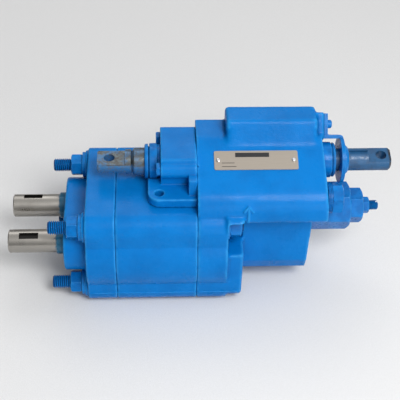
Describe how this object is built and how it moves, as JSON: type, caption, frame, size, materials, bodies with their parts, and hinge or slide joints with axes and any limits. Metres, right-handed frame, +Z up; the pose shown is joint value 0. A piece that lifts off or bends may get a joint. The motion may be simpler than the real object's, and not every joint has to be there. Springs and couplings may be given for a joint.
{
  "type": "hydraulic gear pump",
  "caption": "Cast-iron external gear pump with two keyed shafts, clamping studs, a built-in spool control valve with an eye at each end, and an adjustable relief valve.",
  "frame": {"origin": "midway between the two shafts, in the plane of the front faces of the stud nuts, where a mounting bracket seats", "axes": "+X from the shaft ends to the spool's tail, along the shafts; +Y from the near shaft to the far shaft, toward the ports; +Z up through the spool valve"},
  "size_m": [0.3606, 0.1372, 0.1617],
  "materials": {
    "blue_casting": "satin",
    "blue_hardware": "satin",
    "ground_steel": "satin",
    "spool_steel": "satin",
    "bearing_bronze": "satin",
    "seal_rubber": "matte",
    "hardened_steel": "satin",
    "plate_aluminium": "satin",
    "rivet_aluminium": "satin"
  },
  "bodies": {
    "pump_body": {"front_cover": "blue_casting", "gear_housing": "blue_casting", "valve_housing": "blue_casting", "front_thrust_plate": "bearing_bronze", "rear_thrust_plate": "bearing_bronze", "front_bearings": "bearing_bronze", "rear_bearings": "bearing_bronze", "shaft_seals": "seal_rubber", "seal_retaining_rings": "hardened_steel", "front_joint_seal": "seal_rubber", "rear_joint_seal": "seal_rubber", "dowel_pins": "hardened_steel", "body_studs": "blue_hardware", "stud_washers": "blue_hardware", "stud_nuts": "blue_hardware", "rear_stud_washers": "blue_hardware", "rear_stud_nuts": "blue_hardware", "spool_bonnet": "blue_casting", "bonnet_screws": "blue_hardware", "bonnet_seal": "seal_rubber", "seal_retainer": "blue_hardware", "wiper_disc": "blue_hardware", "tail_seal": "seal_rubber", "tail_cap": "blue_hardware", "stop_bracket": "blue_hardware", "bracket_screw": "blue_hardware", "guide_bush": "blue_hardware", "relief_body": "blue_hardware", "relief_cap": "blue_hardware", "relief_seat": "hardened_steel", "relief_spring": "hardened_steel", "lock_nut": "blue_hardware", "check_plug": "blue_hardware", "check_spring": "hardened_steel", "nameplate": "plate_aluminium", "nameplate_rivets": "rivet_aluminium"},
    "drive_shaft": {"drive_gear_shaft": "ground_steel"},
    "driven_shaft": {"driven_gear_shaft": "ground_steel"},
    "spool": {"spool": "spool_steel"},
    "relief_poppet": {"relief_poppet": "hardened_steel"},
    "check_poppet": {"check_poppet": "hardened_steel"},
    "relief_spring_seat": {"relief_spring_seat": "hardened_steel"},
    "adjusting_screw": {"adjusting_screw": "blue_hardware"}
  },
  "joints": [
    {"name": "drive_shaft_spin", "type": "hinge", "parent": "pump_body", "child": "drive_shaft", "pos_m": [0.014, -0.0254, 0], "axis": [1, 0, 0], "continuous": true},
    {"name": "driven_shaft_spin", "type": "hinge", "parent": "pump_body", "child": "driven_shaft", "pos_m": [0.014, 0.0254, 0], "axis": [1, 0, 0], "continuous": true},
    {"name": "spool_slide", "type": "slide", "parent": "pump_body", "child": "spool", "axis": [1, 0, 0], "range_m": [-0.0095, 0.0095]},
    {"name": "relief_poppet_lift", "type": "slide", "parent": "pump_body", "child": "relief_poppet", "axis": [1, 0, 0], "range_m": [0, 0.0025], "stiffness_N_per_m": 2000, "springref_m": -0.005, "deforming": ["relief_spring"]},
    {"name": "check_poppet_lift", "type": "slide", "parent": "pump_body", "child": "check_poppet", "axis": [1, 0, 0], "range_m": [0, 0.005], "stiffness_N_per_m": 400, "springref_m": -0.01, "deforming": ["check_spring"]},
    {"name": "spring_seat_slide", "type": "slide", "parent": "pump_body", "child": "relief_spring_seat", "axis": [1, 0, 0], "range_m": [-0.00201, 0.00201], "deforming": ["relief_spring"]},
    {"name": "adjusting_screw_turn", "type": "hinge", "parent": "relief_spring_seat", "child": "adjusting_screw", "pos_m": [0.274, 0, 0.0184], "axis": [1, 0, 0], "range_deg": [-680.31, 680.31]}
  ],
  "couplings": [
    {"joint": "driven_shaft_spin", "follows": "drive_shaft_spin", "ratio": -1},
    {"joint": "spring_seat_slide", "follows": "adjusting_screw_turn", "m_per_rad": 0.00016844}
  ]
}
